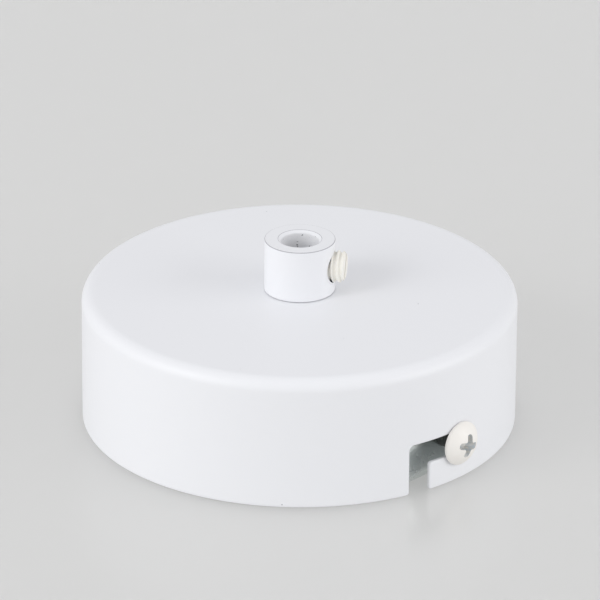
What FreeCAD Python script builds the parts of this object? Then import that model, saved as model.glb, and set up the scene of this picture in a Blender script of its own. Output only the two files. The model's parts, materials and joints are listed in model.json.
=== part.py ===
import FreeCAD, Part
import math
import operator
import os

import Sketcher

# Driving dimensions, in millimetres and degrees: name, value, what it measures.
DIMENSIONS = [
    # The canopy, a drawn cup that stands on its rim.
    ("canopy_diameter", 80.0, "outside of the wall"),
    ("canopy_height", 25.0, "rim to the outside of the top"),
    ("canopy_wall", 0.8, "thickness of the sheet"),
    ("canopy_edge", 2.4, "outer radius where the wall meets the top"),
    ("cord_hole_clearance", 0.1, "gap around the grip's spigot in the top"),
    # The two bayonet slots in the wall.
    ("unlock_turn", 13.45, "angle from a seated side screw to the open leg of its slot"),
    ("slot_clearance", 0.4, "gap on either side of a side screw in its slot"),
    ("seat_clearance", 0.05, "gap between a side screw and the edge that hangs on it"),
    ("slot_corner", 1.0, "radius of the slot's inner corners"),
    ("tab_corner", 0.6, "radius of the tab's upper corner"),
    ("mouth_corner", 0.5, "radius where the slot meets the rim"),
    # The cord grip, a turned bush with a threaded spigot.
    ("grip_diameter", 13.0, "outside of the bush"),
    ("grip_height", 10.0, "bush above the canopy's top"),
    ("cord_bore", 7.0, "way through for the cord"),
    ("cord_chamfer", 0.5, "countersink at the top of the bore"),
    ("spigot_diameter", 10.0, "thread that goes through the canopy"),
    ("spigot_spare", 3.3, "thread that shows past the nut"),
    ("spigot_chamfer", 0.6, "lead-in at the end of the thread"),
    # The clamping screw in the side of the grip.
    ("clamp_diameter", 6.0, "outside of the thread"),
    ("clamp_clearance", 0.1, "gap around the thread in its hole"),
    ("clamp_length", 4.5, "end to end"),
    ("clamp_standoff", 2.0, "how far it stands out of the grip"),
    ("clamp_height", 5.1, "axis above the foot of the bush"),
    ("clamp_bearing", 32.5, "angle of the axis from the front side screw"),
    ("clamp_chamfer", 0.4, "chamfer at both ends"),
    ("clamp_slot_width", 1.0, "screwdriver slot"),
    ("clamp_slot_depth", 1.3, "screwdriver slot"),
    ("clamp_slot_turn", 155.0, "angle of the screwdriver slot about the screw"),
    # The toothed washer and the nut that hold the grip.
    ("lock_washer_diameter", 17.0, "outside"),
    ("lock_washer_thickness", 0.9, "flattened by the nut"),
    ("lock_washer_clearance", 0.2, "gap between tooth tips and spigot"),
    ("lock_teeth", 9, "teeth around the inside"),
    ("lock_gap_width", 1.5, "space between two teeth"),
    ("lock_gap_depth", 1.8, "length of a tooth"),
    ("nut_flats", 14.0, "across the flats"),
    ("nut_thickness", 2.5, "thin nut"),
    ("nut_clearance", 0.05, "gap around the spigot in the nut"),
    ("nut_face", 13.2, "flat circle on the outer face, inside the chamfer"),
    # The bracket, a strip bent to a U, with an upturned ear.
    ("sheet_thickness", 1.2, "strip"),
    ("bracket_width", 22.0, "across the strip"),
    ("bracket_lift", 0.2, "underside of the strip above the rim"),
    ("bend_radius", 0.8, "inside of each bend"),
    ("leg_setback", 2.9, "from the inside of the canopy's wall to a leg"),
    ("leg_height", 12.0, "from the underside of the strip"),
    ("leg_corner", 3.0, "corners of a leg"),
    ("collar_wall", 0.8, "drawn collar around a tapped hole"),
    ("collar_depth", 1.3, "collar beyond the sheet"),
    ("supply_hole", 10.0, "hole for the supply cable"),
    ("ceiling_slot_width", 4.5, "slot for a ceiling screw"),
    ("ceiling_slot_length", 14.0, "end to end"),
    ("ceiling_spacing", 42.0, "between the middles of the two slots"),
    ("ear_width", 9.0, "earth ear"),
    ("ear_height", 11.5, "from the underside of the strip"),
    ("ear_corner", 2.0, "corners of the ear"),
    ("earth_height", 7.0, "earth screw above the underside of the strip"),
    # The side screws and the earth screw, which share a thread.
    ("screw_diameter", 3.5, "outside of the thread"),
    ("thread_clearance", 0.05, "gap around the thread in a tapped hole"),
    ("tip_chamfer", 0.5, "lead-in at the end of the thread"),
    ("screw_height", 7.2, "side screws above the rim"),
    ("side_screw_length", 10.0, "under the head"),
    ("head_diameter", 8.2, "across the domed head"),
    ("head_height", 2.4, "to the top of the dome"),
    ("head_edge", 0.5, "straight rim under the dome"),
    ("head_gap", 0.15, "between the canopy's wall and the head"),
    ("recess_span", 5.2, "cross recess from tip to tip, at the height of the dome's top"),
    ("recess_foot", 1.9, "cross recess from tip to tip, at the bottom"),
    ("recess_depth", 1.7, "below the dome's top"),
    ("recess_wing", 1.0, "width of a wing of the cross"),
    ("front_recess_turn", -15.0, "angle of the cross in the front screw"),
    ("rear_recess_turn", 28.0, "angle of the cross in the rear screw"),
    ("earth_screw_length", 6.0, "under the head"),
    ("earth_head_diameter", 6.0, "across the cheese head"),
    ("earth_head_height", 2.4, "to the top of the head"),
    ("earth_slot_width", 1.0, "screwdriver slot"),
    ("earth_slot_depth", 1.0, "screwdriver slot"),
    ("earth_slot_turn", 40.0, "angle of the screwdriver slot about the screw"),
    # The toothed washer under the earth screw's head.
    ("earth_washer_diameter", 7.6, "outside"),
    ("earth_washer_thickness", 0.6, "flattened by the screw"),
    ("earth_washer_clearance", 0.15, "gap around the screw"),
    ("earth_teeth", 8, "teeth around the outside"),
    ("earth_gap_width", 1.0, "space between two teeth"),
    ("earth_gap_depth", 1.1, "length of a tooth"),
]

Z_AXIS = FreeCAD.Vector(0, 0, 1)
Y_AXIS = FreeCAD.Vector(0, 1, 0)
SAME_PLACE = 1e-4
SMALLEST_CUT = 1e-3

doc = FreeCAD.newDocument("CeilingRose")
sheet = doc.addObject("Spreadsheet::Sheet", "Dimensions")
for row, (name, value, meaning) in enumerate(DIMENSIONS, start=1):
    sheet.set(f"A{row}", name)
    sheet.set(f"B{row}", str(value))
    sheet.setAlias(f"B{row}", name)
    sheet.set(f"C{row}", meaning)
doc.recompute()


class Size:
    """A size that keeps its formula on the sheet together with its number."""

    SIGNS = {"+": operator.add, "-": operator.sub, "*": operator.mul, "/": operator.truediv}

    def __init__(self, formula, number):
        self.formula = formula
        self.number = number

    def joined(self, sign, other):
        other = as_size(other)
        number = self.SIGNS[sign](self.number, other.number)
        return Size(f"({self.formula} {sign} {other.formula})", number)

    def __add__(self, other):
        return self.joined("+", other)

    def __sub__(self, other):
        return self.joined("-", other)

    def __mul__(self, other):
        return self.joined("*", other)

    def __truediv__(self, other):
        return self.joined("/", other)

    def __neg__(self):
        return Size(f"(-{self.formula})", -self.number)


ZERO = Size("0", 0.0)


def as_size(value):
    """A plain number as a size."""
    if isinstance(value, Size):
        return value
    return ZERO if value == 0 else Size(repr(value), value)


def dim(name):
    """A driving dimension from the sheet."""
    return Size(f"Dimensions.{name}", float(sheet.get(name)))


def sine(angle):
    return Size(f"sin({angle.formula})", math.sin(math.radians(angle.number)))


def cosine(angle):
    return Size(f"cos({angle.formula})", math.cos(math.radians(angle.number)))


# Sizes and places that several pieces share.
canopy_radius = dim("canopy_diameter") / 2
canopy_inside = canopy_radius - dim("canopy_wall")
ceiling_of_cup = dim("canopy_height") - dim("canopy_wall")
slot_width = dim("screw_diameter") + dim("slot_clearance") * 2
grip_radius = dim("grip_diameter") / 2
spigot_radius = dim("spigot_diameter") / 2
washer_foot = ceiling_of_cup - dim("lock_washer_thickness")
nut_foot = washer_foot - dim("nut_thickness")
bend_outside = dim("bend_radius") + dim("sheet_thickness")
leg_face = canopy_inside - dim("leg_setback")
ear_face = dim("bracket_width") / 2 + bend_outside
tapped_hole = dim("screw_diameter") + dim("thread_clearance") * 2
collar_diameter = tapped_hole + dim("collar_wall") * 2


def new_body(label):
    body = doc.addObject("PartDesign::Body", label)
    body.Label = label
    return body


def origin_feature(body, role):
    """One of a body's own planes or axes."""
    return next(item for item in body.Origin.OriginFeatures if item.Role == role)


def new_sketch(body, name, role, lift=None):
    """A sketch on an origin plane of its body, or at a height above that plane."""
    sketch = body.newObject("Sketcher::SketchObject", f"{body.Name}_{name}")
    sketch.AttachmentSupport = [(origin_feature(body, role), "")]
    sketch.MapMode = "FlatFace"
    if lift is not None:
        sketch.setExpression("AttachmentOffset.Base.z", lift.formula)
    return sketch


def hold(sketch, kind, edge, point, size):
    """Tie one coordinate of a point in a sketch to a size."""
    if size is ZERO:
        axis = -2 if kind == "DistanceX" else -1
        sketch.addConstraint(Sketcher.Constraint("PointOnObject", edge, point, axis))
        return
    index = sketch.addConstraint(Sketcher.Constraint(kind, -1, 1, edge, point, size.number))
    sketch.setExpression(f"Constraints[{index}]", size.formula)


def draw_outline(sketch, corners):
    """A closed outline. A corner is (x, y), or (x, y, cx, cy) if an arc about (cx, cy) leads to it."""
    corners = [tuple(as_size(value) for value in corner) for corner in corners]
    places = [FreeCAD.Vector(corner[0].number, corner[1].number, 0) for corner in corners]
    first = sketch.GeometryCount
    ends = []
    for here, (start, corner) in enumerate(zip(places, corners[1:] + corners[:1])):
        stop = places[(here + 1) % len(places)]
        if len(corner) == 2:
            sketch.addGeometry(Part.LineSegment(start, stop), False)
            ends.append((1, 2))
            continue
        centre = FreeCAD.Vector(corner[2].number, corner[3].number, 0)
        anticlockwise = (start - centre).cross(stop - centre).z > 0
        spokes = [start - centre, stop - centre] if anticlockwise else [stop - centre, start - centre]
        angles = [math.atan2(spoke.y, spoke.x) for spoke in spokes]
        if angles[1] < angles[0]:
            angles[1] += 2 * math.pi
        circle = Part.Circle(centre, Z_AXIS, (start - centre).Length)
        sketch.addGeometry(Part.ArcOfCircle(circle, *angles), False)
        ends.append((1, 2) if anticlockwise else (2, 1))
    for here, corner in enumerate(corners):
        edge = first + here
        before = (here - 1) % len(corners)
        after = corners[(here + 1) % len(corners)]
        joint = Sketcher.Constraint("Coincident", first + before, ends[before][1], edge, ends[here][0])
        sketch.addConstraint(joint)
        hold(sketch, "DistanceX", edge, ends[here][0], corner[0])
        hold(sketch, "DistanceY", edge, ends[here][0], corner[1])
        if len(after) == 4:
            run = places[(here + 1) % len(corners)] - places[here]
            if abs(run.y) >= abs(run.x):
                hold(sketch, "DistanceX", edge, 3, after[2])
            else:
                hold(sketch, "DistanceY", edge, 3, after[3])


def draw_circle(sketch, x, y, diameter):
    x, y = as_size(x), as_size(y)
    centre = FreeCAD.Vector(x.number, y.number, 0)
    edge = sketch.addGeometry(Part.Circle(centre, Z_AXIS, diameter.number / 2), False)
    hold(sketch, "DistanceX", edge, 3, x)
    hold(sketch, "DistanceY", edge, 3, y)
    index = sketch.addConstraint(Sketcher.Constraint("Diameter", edge, diameter.number))
    sketch.setExpression(f"Constraints[{index}]", diameter.formula)


def draw_box(sketch, low_x, low_y, high_x, high_y):
    draw_outline(sketch, [(low_x, low_y), (high_x, low_y), (high_x, high_y), (low_x, high_y)])


def add_feature(body, kind, name, profile, length=None, reverse=False, both_sides=False):
    """A pad or pocket of a sketch: of a stated length, or right through when it has none."""
    made = body.newObject(f"PartDesign::{kind}", f"{body.Name}_{name}")
    made.Profile = profile
    if length is None:
        made.Type = "ThroughAll"
    else:
        made.setExpression("Length", length.formula)
    made.Reversed = reverse
    if both_sides:
        made.SideType = "Symmetric"
    doc.recompute()
    return made


def turn_profile(body, kind, name, profile):
    """A full turn of a sketch about its upright axis: a solid, or a groove cut from one."""
    made = body.newObject(f"PartDesign::{kind}", f"{body.Name}_{name}")
    made.Profile = profile
    made.ReferenceAxis = (profile, ["V_Axis"])
    made.Angle = 360
    doc.recompute()
    return made


def repeat_around(body, name, originals, count, angle=360):
    """Copies of features about the body's Z axis, evenly spaced over an angle."""
    pattern = body.newObject("PartDesign::PolarPattern", f"{body.Name}_{name}")
    pattern.Originals = originals
    pattern.Axis = (origin_feature(body, "Z_Axis"), [""])
    pattern.Angle = angle
    pattern.setExpression("Occurrences", as_size(count).formula)
    body.Tip = pattern
    doc.recompute()
    return pattern


def round_edges(body, name, base, chosen, radius):
    """Fillet those edges of a feature that a test on their bounding box picks out."""
    picked = [f"Edge{i}" for i, edge in enumerate(base.Shape.Edges, start=1) if chosen(edge.BoundBox)]
    fillet = body.newObject("PartDesign::Fillet", f"{body.Name}_{name}")
    fillet.Base = (base, picked)
    fillet.setExpression("Radius", radius.formula)
    doc.recompute()
    return fillet


def near(a, b):
    return abs(a - b) < SAME_PLACE


def put(body, x, y, z, rotation=None):
    """Set a body in its place, with its coordinates tied to the sheet."""
    body.Placement = FreeCAD.Placement(FreeCAD.Vector(), rotation or FreeCAD.Rotation())
    for axis, size in zip("xyz", (x, y, z)):
        body.setExpression(f"Placement.Base.{axis}", as_size(size).formula)
    doc.recompute()
    return body


def aimed(bearing, turn):
    """A rotation that lays +Z level along a compass bearing from +X, after a turn about itself."""
    level = FreeCAD.Rotation(Z_AXIS, bearing) * FreeCAD.Rotation(Y_AXIS, 90)
    return level * FreeCAD.Rotation(Z_AXIS, turn)


def draw_bayonet(sketch):
    """The L-shaped slot: an open leg up from the rim, then a level leg to the screw's seat."""
    reach = canopy_radius * sine(dim("unlock_turn") / 2)
    half = slot_width / 2
    left = -(reach + half)
    tab = -(reach - half)
    seat = reach + half
    low = dim("screw_height") - dim("screw_diameter") / 2 - dim("seat_clearance")
    high = low + slot_width
    corner = dim("slot_corner")
    tab_corner = dim("tab_corner")
    mouth = dim("mouth_corner")
    below_rim = -dim("canopy_wall")
    draw_outline(sketch, [
        (left - mouth, below_rim),
        (tab + mouth, below_rim),
        (tab + mouth, 0),
        (tab, mouth, tab + mouth, mouth),
        (tab, low - tab_corner),
        (tab + tab_corner, low, tab + tab_corner, low - tab_corner),
        (seat - corner, low),
        (seat, low + corner, seat - corner, low + corner),
        (seat, high - corner),
        (seat - corner, high, seat - corner, high - corner),
        (left + corner, high),
        (left, high - corner, left + corner, high - corner),
        (left, mouth),
        (left - mouth, 0, left - mouth, mouth),
    ])


def make_canopy_shell():
    """Drawn steel cup: wall, edge rounded outside and bevelled inside, top, and two bayonet slots."""
    body = new_body("canopy_shell")
    height = dim("canopy_height")
    edge = dim("canopy_edge")
    hole = spigot_radius + dim("cord_hole_clearance")
    bevel = (edge - dim("canopy_wall")) * (2 - math.sqrt(2))
    cup = new_sketch(body, "section", "XZ_Plane")
    draw_outline(cup, [
        (hole, ceiling_of_cup),
        (canopy_inside - bevel, ceiling_of_cup),
        (canopy_inside, ceiling_of_cup - bevel),
        (canopy_inside, 0),
        (canopy_radius, 0),
        (canopy_radius, height - edge),
        (canopy_radius - edge, height, canopy_radius - edge, height - edge),
        (hole, height),
    ])
    turn_profile(body, "Revolution", "cup", cup)
    bayonet = new_sketch(body, "bayonet", "YZ_Plane")
    draw_bayonet(bayonet)
    slot = add_feature(body, "Pocket", "slot", bayonet, reverse=True)
    repeat_around(body, "slots", [slot], 2)
    middle_of_slot = -dim("unlock_turn").number / 2
    return put(body, 0, 0, 0, FreeCAD.Rotation(Z_AXIS, middle_of_slot))


def make_cord_grip():
    """Turned bush: cord bore with a countersink, threaded spigot below, tapped hole in the side."""
    body = new_body("cord_grip")
    bore = dim("cord_bore") / 2
    height = dim("grip_height")
    foot = -(dim("canopy_wall") + dim("lock_washer_thickness") + dim("nut_thickness") + dim("spigot_spare"))
    lead = dim("spigot_chamfer")
    section = new_sketch(body, "section", "XZ_Plane")
    draw_outline(section, [
        (bore, foot),
        (spigot_radius - lead, foot),
        (spigot_radius, foot + lead),
        (spigot_radius, 0),
        (grip_radius, 0),
        (grip_radius, height),
        (bore + dim("cord_chamfer"), height),
        (bore, height - dim("cord_chamfer")),
    ])
    turn_profile(body, "Revolution", "bush", section)
    side = new_sketch(body, "side_hole", "YZ_Plane")
    draw_circle(side, 0, dim("clamp_height"), dim("clamp_diameter") + dim("clamp_clearance") * 2)
    add_feature(body, "Pocket", "tapped_hole", side, reverse=True)
    bearing = dim("clamp_bearing").number
    return put(body, 0, 0, dim("canopy_height"), FreeCAD.Rotation(Z_AXIS, bearing))


def cut_driver_slot(body, top, width, depth):
    """A straight screwdriver slot across the top of a screw."""
    driver = new_sketch(body, "driver", "YZ_Plane")
    draw_box(driver, -(width / 2), top - depth, width / 2, top)
    add_feature(body, "Pocket", "driver_slot", driver, both_sides=True)


def make_clamp_screw():
    """Headless nylon screw with a driver slot. Its tip is at its own z = 0."""
    body = new_body("clamp_screw")
    radius = dim("clamp_diameter") / 2
    length = dim("clamp_length")
    edge = dim("clamp_chamfer")
    section = new_sketch(body, "section", "XZ_Plane")
    draw_outline(section, [
        (0, 0),
        (radius - edge, 0),
        (radius, edge),
        (radius, length - edge),
        (radius - edge, length),
        (0, length),
    ])
    turn_profile(body, "Revolution", "stem", section)
    cut_driver_slot(body, length, dim("clamp_slot_width"), dim("clamp_slot_depth"))
    bearing = dim("clamp_bearing")
    tip = grip_radius + dim("clamp_standoff") - length
    rotation = aimed(bearing.number, dim("clamp_slot_turn").number)
    height = dim("canopy_height") + dim("clamp_height")
    return put(body, tip * cosine(bearing), tip * sine(bearing), height, rotation)


def make_lock_washer():
    """Toothed washer between the canopy's top and the nut, with teeth on its inside."""
    body = new_body("grip_lock_washer")
    bore = dim("spigot_diameter") + dim("lock_washer_clearance") * 2
    ring = new_sketch(body, "ring", "XY_Plane")
    draw_circle(ring, 0, 0, dim("lock_washer_diameter"))
    draw_circle(ring, 0, 0, bore)
    add_feature(body, "Pad", "disc", ring, dim("lock_washer_thickness"))
    gap = new_sketch(body, "gap", "XY_Plane")
    half = dim("lock_gap_width") / 2
    draw_box(gap, spigot_radius, -half, bore / 2 + dim("lock_gap_depth"), half)
    cut = add_feature(body, "Pocket", "tooth_gap", gap, reverse=True)
    repeat_around(body, "teeth", [cut], dim("lock_teeth"))
    return put(body, 0, 0, washer_foot)


def make_grip_nut():
    """Thin hexagon nut, chamfered on its outer face."""
    body = new_body("grip_nut")
    flat = dim("nut_flats") / 2
    root_three = Size("sqrt(3)", math.sqrt(3))
    corner = flat * 2 / root_three
    thickness = dim("nut_thickness")
    hexagon = new_sketch(body, "hexagon", "XY_Plane")
    draw_outline(hexagon, [
        (corner, 0),
        (corner / 2, flat),
        (-(corner / 2), flat),
        (-corner, 0),
        (-(corner / 2), -flat),
        (corner / 2, -flat),
    ])
    add_feature(body, "Pad", "prism", hexagon, thickness)
    thread = new_sketch(body, "thread", "XY_Plane")
    draw_circle(thread, 0, 0, dim("spigot_diameter") + dim("nut_clearance") * 2)
    add_feature(body, "Pocket", "thread_hole", thread, reverse=True)
    face = dim("nut_face") / 2
    beyond = corner + (corner - face)
    drop = (beyond - face) / root_three
    bevel = new_sketch(body, "bevel", "XZ_Plane")
    draw_outline(bevel, [(face, 0), (beyond, 0), (beyond, drop)])
    turn_profile(body, "Groove", "chamfer", bevel)
    return put(body, 0, 0, nut_foot)


def draw_ceiling_slot(sketch, middle):
    """A slot with round ends, along the strip."""
    radius = dim("ceiling_slot_width") / 2
    run = dim("ceiling_slot_length") / 2 - radius
    left = middle - run
    right = middle + run
    draw_outline(sketch, [
        (left, -radius, left, 0),
        (right, -radius),
        (right + radius, 0, right, 0),
        (right, radius, right, 0),
        (left, radius),
        (left - radius, 0, left, 0),
    ])


def make_mounting_bracket():
    """Zinc-plated strip: base with ceiling slots, two legs with tapped collars, and an earth ear."""
    body = new_body("mounting_bracket")
    sheet_thickness = dim("sheet_thickness")
    bend = bend_outside
    inner_face = leg_face - sheet_thickness
    half_width = dim("bracket_width") / 2
    leg_top = dim("leg_height")
    strip = new_sketch(body, "strip", "XZ_Plane")
    draw_outline(strip, [
        (-leg_face, leg_top),
        (-leg_face, bend),
        (bend - leg_face, 0, bend - leg_face, bend),
        (leg_face - bend, 0),
        (leg_face, bend, leg_face - bend, bend),
        (leg_face, leg_top),
        (inner_face, leg_top),
        (inner_face, bend),
        (leg_face - bend, sheet_thickness, leg_face - bend, bend),
        (bend - leg_face, sheet_thickness),
        (-inner_face, bend, bend - leg_face, bend),
        (-inner_face, leg_top),
    ])
    add_feature(body, "Pad", "channel", strip, dim("bracket_width"), both_sides=True)

    ear_top = dim("ear_height")
    ear_back = ear_face - sheet_thickness
    ear_root = half_width - sheet_thickness
    ear = new_sketch(body, "ear_section", "YZ_Plane")
    draw_outline(ear, [
        (ear_root, 0),
        (half_width, 0),
        (ear_face, bend, half_width, bend),
        (ear_face, ear_top),
        (ear_back, ear_top),
        (ear_back, bend),
        (half_width, sheet_thickness, half_width, bend),
        (ear_root, sheet_thickness),
    ])
    folded = add_feature(body, "Pad", "ear", ear, dim("ear_width"), both_sides=True)

    def leg_corner(box):
        at_side = near(abs(box.YMin), half_width.number) and box.YLength < SAME_PLACE
        return at_side and near(box.ZMin, leg_top.number) and near(box.ZMax, leg_top.number)

    def ear_corner(box):
        at_side = near(abs(box.XMin), dim("ear_width").number / 2) and box.XLength < SAME_PLACE
        return at_side and near(box.ZMin, ear_top.number) and near(box.ZMax, ear_top.number)

    rounded = round_edges(body, "leg_corners", folded, leg_corner, dim("leg_corner"))
    round_edges(body, "ear_corners", rounded, ear_corner, dim("ear_corner"))

    leg_hole_height = dim("screw_height") - dim("bracket_lift")
    collar = new_sketch(body, "leg_collar", "YZ_Plane", inner_face)
    draw_circle(collar, 0, leg_hole_height, collar_diameter)
    drawn = add_feature(body, "Pad", "leg_collar_wall", collar, dim("collar_depth"), reverse=True)
    hole = new_sketch(body, "leg_hole", "YZ_Plane")
    draw_circle(hole, 0, leg_hole_height, tapped_hole)
    tapped = add_feature(body, "Pocket", "leg_tapping", hole, reverse=True)
    twin = body.newObject("PartDesign::Mirrored", "mounting_bracket_far_leg")
    twin.Originals = [drawn, tapped]
    twin.MirrorPlane = (origin_feature(body, "YZ_Plane"), [""])
    body.Tip = twin
    doc.recompute()

    ear_collar = new_sketch(body, "ear_collar", "XZ_Plane", -ear_back)
    draw_circle(ear_collar, 0, dim("earth_height"), collar_diameter)
    add_feature(body, "Pad", "ear_collar_wall", ear_collar, dim("collar_depth"))
    ear_hole = new_sketch(body, "ear_hole", "XZ_Plane")
    draw_circle(ear_hole, 0, dim("earth_height"), tapped_hole)
    add_feature(body, "Pocket", "ear_tapping", ear_hole)

    base = new_sketch(body, "base_holes", "XY_Plane")
    draw_circle(base, 0, 0, dim("supply_hole"))
    draw_ceiling_slot(base, dim("ceiling_spacing") / 2)
    draw_ceiling_slot(base, -(dim("ceiling_spacing") / 2))
    add_feature(body, "Pocket", "base_cuts", base, reverse=True)
    return put(body, 0, 0, dim("bracket_lift"))


def turn_screw(body, length, head):
    """Threaded stem along +Z with the underside of its head at its own z = 0, then the head's outline."""
    shank = dim("screw_diameter") / 2
    lead = dim("tip_chamfer")
    section = new_sketch(body, "section", "XZ_Plane")
    draw_outline(section, [(0, -length), (shank - lead, -length), (shank, lead - length), (shank, 0)] + head)
    turn_profile(body, "Revolution", "blank", section)


def make_side_screw(label, bearing, turn):
    """Domed screw with a cross recess, through a bayonet slot into a leg, along +X or -X."""
    body = new_body(label)
    radius = dim("head_diameter") / 2
    top = dim("head_height")
    rise = top - dim("head_edge")
    dome_radius = (radius * radius + rise * rise) / (rise * 2)
    dome = [(radius, 0), (radius, dim("head_edge")), (0, top, 0, top - dome_radius)]
    turn_screw(body, dim("side_screw_length"), dome)
    wing = new_sketch(body, "recess_wing", "XZ_Plane")
    mouth = dim("recess_span") / 2
    foot = dim("recess_foot") / 2
    bottom = top - dim("recess_depth")
    draw_outline(wing, [(-mouth, top), (-foot, bottom), (foot, bottom), (mouth, top)])
    cut = add_feature(body, "Pocket", "recess", wing, dim("recess_wing"), both_sides=True)
    repeat_around(body, "cross", [cut], 2, angle=90)
    seat = canopy_radius + dim("head_gap")
    outward = seat if bearing == 0 else -seat
    return put(body, outward, 0, dim("screw_height"), aimed(bearing, turn.number))


def make_earth_screw():
    """The terminal screw, a slotted cheese head, level through its washer into the ear."""
    body = new_body("earth_screw")
    radius = dim("earth_head_diameter") / 2
    top = dim("earth_head_height")
    turn_screw(body, dim("earth_screw_length"), [(radius, 0), (radius, top), (0, top)])
    cut_driver_slot(body, top, dim("earth_slot_width"), dim("earth_slot_depth"))
    seat = ear_face + dim("earth_washer_thickness")
    height = dim("bracket_lift") + dim("earth_height")
    return put(body, 0, seat, height, aimed(90, dim("earth_slot_turn").number))


def make_earth_washer():
    """Toothed washer under the earth screw's head, with teeth on its outside."""
    body = new_body("earth_washer")
    outside = dim("earth_washer_diameter")
    ring = new_sketch(body, "ring", "XY_Plane")
    draw_circle(ring, 0, 0, outside)
    draw_circle(ring, 0, 0, dim("screw_diameter") + dim("earth_washer_clearance") * 2)
    add_feature(body, "Pad", "disc", ring, dim("earth_washer_thickness"))
    gap = new_sketch(body, "gap", "XY_Plane")
    half = dim("earth_gap_width") / 2
    draw_box(gap, outside / 2 - dim("earth_gap_depth"), -half, outside / 2 + half, half)
    cut = add_feature(body, "Pocket", "tooth_gap", gap, reverse=True)
    repeat_around(body, "teeth", [cut], dim("earth_teeth"))
    height = dim("bracket_lift") + dim("earth_height")
    return put(body, 0, ear_face, height, aimed(90, 0))


def check_document():
    """Stop if a feature failed, a cut missed its solid, or a sketch is loose."""
    for item in doc.Objects:
        if "Invalid" in item.State or "Error" in item.State:
            raise RuntimeError(f"{item.Name} failed: {item.State}")
        if item.TypeId == "Sketcher::SketchObject" and not item.FullyConstrained:
            raise RuntimeError(f"{item.Name} isn't fully constrained")
        if item.TypeId in ("PartDesign::Pocket", "PartDesign::Groove"):
            if item.BaseFeature.Shape.Volume - item.Shape.Volume < SMALLEST_CUT:
                raise RuntimeError(f"{item.Name} cuts nothing")


def main():
    pieces = [
        make_canopy_shell(),
        make_cord_grip(),
        make_clamp_screw(),
        make_lock_washer(),
        make_grip_nut(),
        make_mounting_bracket(),
        make_side_screw("side_screw_front", 0, dim("front_recess_turn")),
        make_side_screw("side_screw_rear", 180, dim("rear_recess_turn")),
        make_earth_screw(),
        make_earth_washer(),
    ]
    doc.recompute()
    check_document()
    for piece in pieces:
        if piece.Shape.isNull() or not piece.Shape.isValid() or len(piece.Shape.Solids) != 1:
            raise RuntimeError(f"{piece.Label} isn't one valid solid")
    os.makedirs("parts", exist_ok=True)
    for piece in pieces:
        piece.Shape.exportStep(f"parts/{piece.Label}.step")
        box = piece.Shape.BoundBox
        print(f"{piece.Label}: {piece.Shape.Volume:.1f} mm3, z {box.ZMin:.2f} to {box.ZMax:.2f}")


main()
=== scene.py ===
# %% [markdown]
# # A white ceiling rose
# A ceiling rose covers the place where a pendant lamp's cord meets the ceiling. This one is a drawn
# steel cup that twists onto a zinc-plated bracket. A small cord grip with a nylon screw sits on its face.
# The CAD model is a fixed frame that holds every size and place, and this lesson dresses it.

# %% Load the frame
import json
import math

import bmesh
import bpy
import numpy as np
from mathutils import Matrix, Vector
from mathutils.geometry import delaunay_2d_cdt


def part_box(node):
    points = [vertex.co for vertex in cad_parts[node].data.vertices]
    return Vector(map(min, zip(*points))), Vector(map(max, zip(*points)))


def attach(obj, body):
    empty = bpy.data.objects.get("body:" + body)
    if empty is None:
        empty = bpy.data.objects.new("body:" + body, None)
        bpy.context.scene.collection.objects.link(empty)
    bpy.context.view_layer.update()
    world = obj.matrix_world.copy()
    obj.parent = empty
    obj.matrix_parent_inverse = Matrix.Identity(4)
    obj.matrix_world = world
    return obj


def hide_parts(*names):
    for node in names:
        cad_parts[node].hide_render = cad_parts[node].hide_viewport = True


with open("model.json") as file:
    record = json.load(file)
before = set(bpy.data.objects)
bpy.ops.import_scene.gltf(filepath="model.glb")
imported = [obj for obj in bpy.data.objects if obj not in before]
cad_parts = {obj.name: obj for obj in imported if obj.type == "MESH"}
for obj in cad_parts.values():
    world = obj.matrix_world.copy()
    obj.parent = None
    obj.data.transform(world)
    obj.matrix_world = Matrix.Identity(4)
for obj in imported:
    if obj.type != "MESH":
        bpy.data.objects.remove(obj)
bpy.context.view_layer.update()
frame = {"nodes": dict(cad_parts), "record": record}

MM = 0.001
nodes = frame["nodes"]
record = frame["record"]
BODY_OF = {node: body for body, members in record["behaviour"]["bodies"].items() for node in members}
print("CAD nodes:", sorted(nodes))

# %% [markdown]
# ## Sizes
# The outer sizes are read from the frame, so that the dressed pieces can't drift away from the solids.
# A box doesn't tell what is inside it, so the sheet's thickness, the slots and the bores are written
# here in millimetres, with the values that the solids were made from.

# %% Sizes from the frame


def box_mm(node):
    """Lowest and highest corner of a CAD node, in whole hundredths of a millimetre."""
    return [np.round(np.array(corner) / MM, 2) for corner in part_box(node)]


CUP_RADIUS = round(box_mm("canopy_shell")[1][1], 1)
CUP_HEIGHT = box_mm("canopy_shell")[1][2]
CUP_WALL = 0.8
CUP_EDGE = 2.4
PAINT_ROUND = 0.24

SCREW_RADIUS = 1.75
SCREW_HEIGHT = np.mean([corner[2] for corner in box_mm("side_screw_front")])
EARTH_AXIS = np.mean([corner[2] for corner in box_mm("earth_screw")])
UNLOCK_TURN = math.radians(13.45)

GRIP_FOOT = CUP_HEIGHT
GRIP_TOP = box_mm("cord_grip")[1][2]
GRIP_RADIUS = 6.5
SPIGOT_FOOT = box_mm("cord_grip")[0][2]
SPIGOT_RADIUS = 5.0
BORE_RADIUS = 3.5

print(f"cup {2 * CUP_RADIUS} x {CUP_HEIGHT} mm, grip to {GRIP_TOP} mm, side screws at {SCREW_HEIGHT} mm")

# %% [markdown]
# ## Colours and shader nodes
# Colours are picked as sRGB hex values, the way a paint chart gives them, and shaders want linear light,
# so one function converts them. Another adds a shader node: its settings go to properties or sockets, and
# its links come from nodes that are already there. Every finish below is built with these two.

# %% Colour and node helpers


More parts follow.
